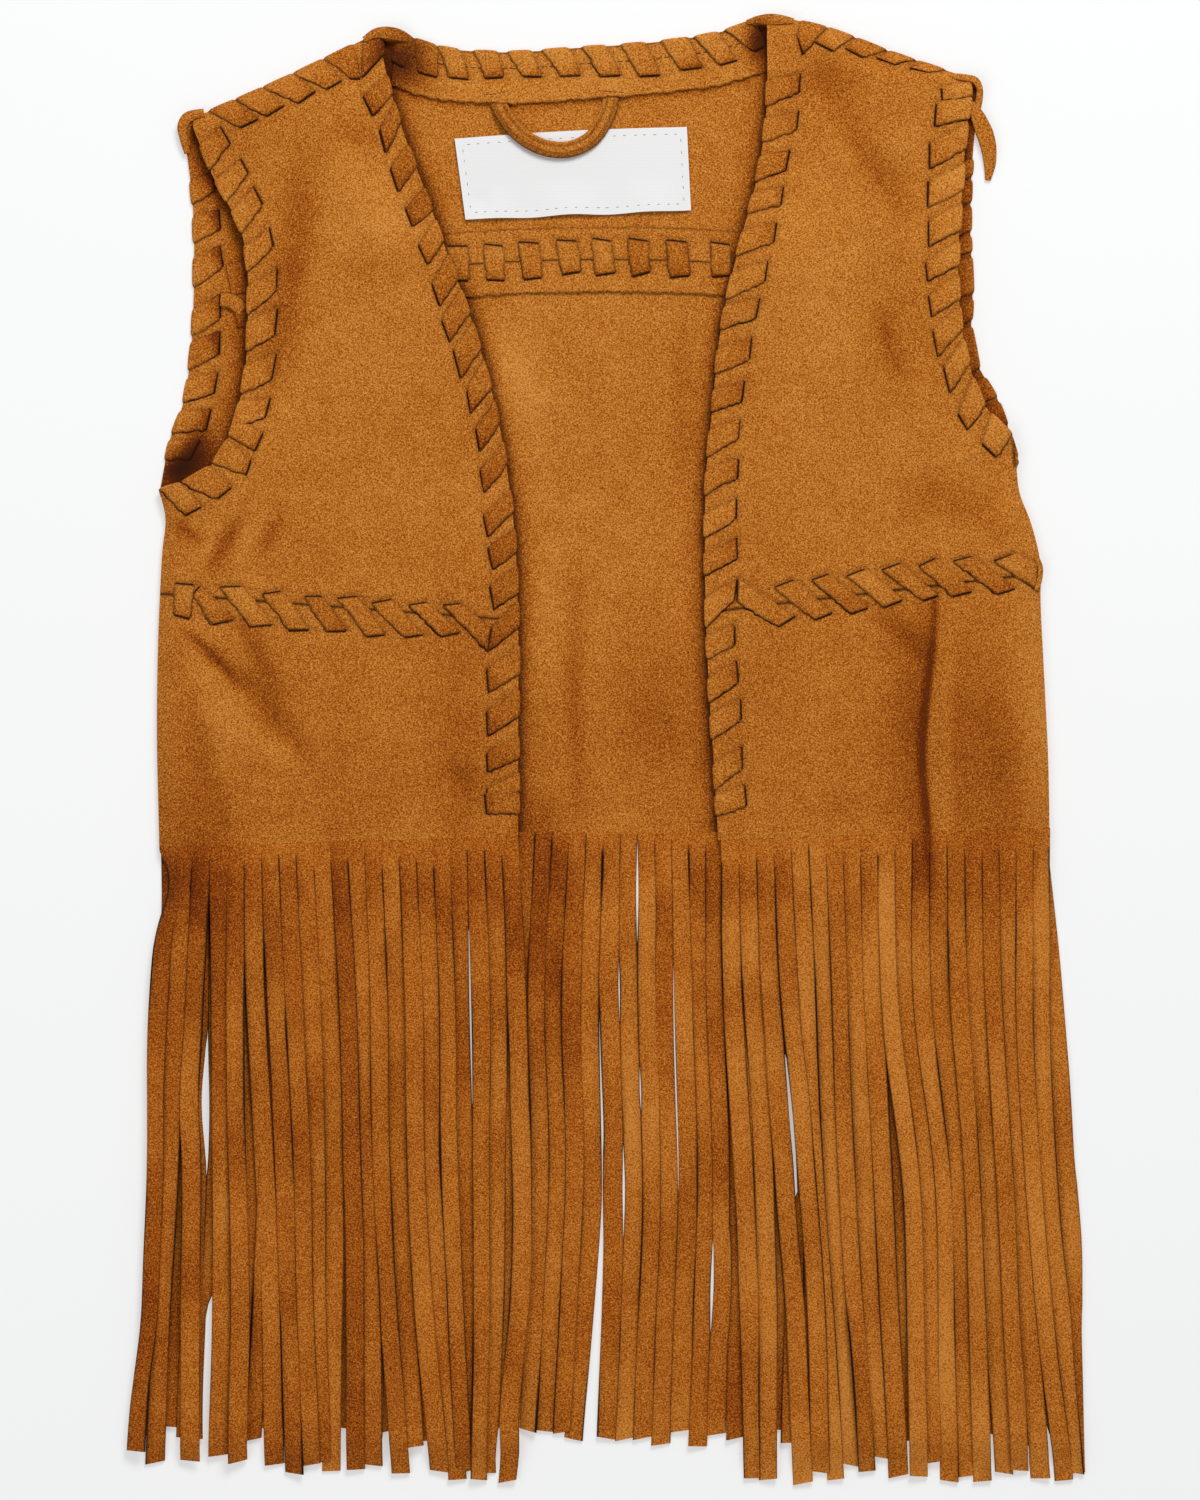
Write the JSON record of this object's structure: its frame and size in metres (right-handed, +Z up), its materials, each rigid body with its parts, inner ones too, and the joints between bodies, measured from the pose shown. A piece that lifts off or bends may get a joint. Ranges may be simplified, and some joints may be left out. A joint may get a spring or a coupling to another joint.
{
  "type": "fringed faux-suede vest",
  "caption": "Open-front sleeveless vest of suede-like cloth laid flat, with thong-laced edges and yoke seams, a cut fringe, a hang loop and a bare label.",
  "frame": {"origin": "centre of the vest's bounding box, on its underside where it lies on the table", "axes": "+X across the vest to the right as seen from above, +Y up the body towards the neck, +Z up from the table"},
  "size_m": [0.3248, 0.4993, 0.0096],
  "materials": {
    "suede_front": "brushed faux suede, soft nap, matt",
    "suede_back": "brushed faux suede, soft nap, matt",
    "suede_fringe": "cut faux suede strips, matt",
    "suede_lace": "cut faux suede thong, matt",
    "label_cloth": "woven satin label, bare"
  },
  "bodies": {
    "root": {"back_yoke": "suede_back", "back_body": "suede_back", "back_yoke_turnback": "suede_back", "back_body_turnback": "suede_back", "neck_facing": "suede_back", "label": "label_cloth", "hang_loop": "suede_back", "left_front_yoke": "suede_front", "left_front_body": "suede_front", "right_front_yoke": "suede_front", "right_front_body": "suede_front", "fringe_back": "suede_fringe", "fringe_left_front": "suede_fringe", "fringe_right_front": "suede_fringe", "lace_left_opening": "suede_lace", "lace_right_opening": "suede_lace", "lace_neck": "suede_lace", "lace_left_shoulder": "suede_lace", "lace_right_shoulder": "suede_lace", "lace_left_armhole": "suede_lace", "lace_right_armhole": "suede_lace", "lace_left_back_armhole": "suede_lace", "lace_right_back_armhole": "suede_lace", "lace_left_yoke": "suede_lace", "lace_right_yoke": "suede_lace", "lace_back_yoke": "suede_lace", "lace_tail": "suede_lace"}
  },
  "joints": []
}
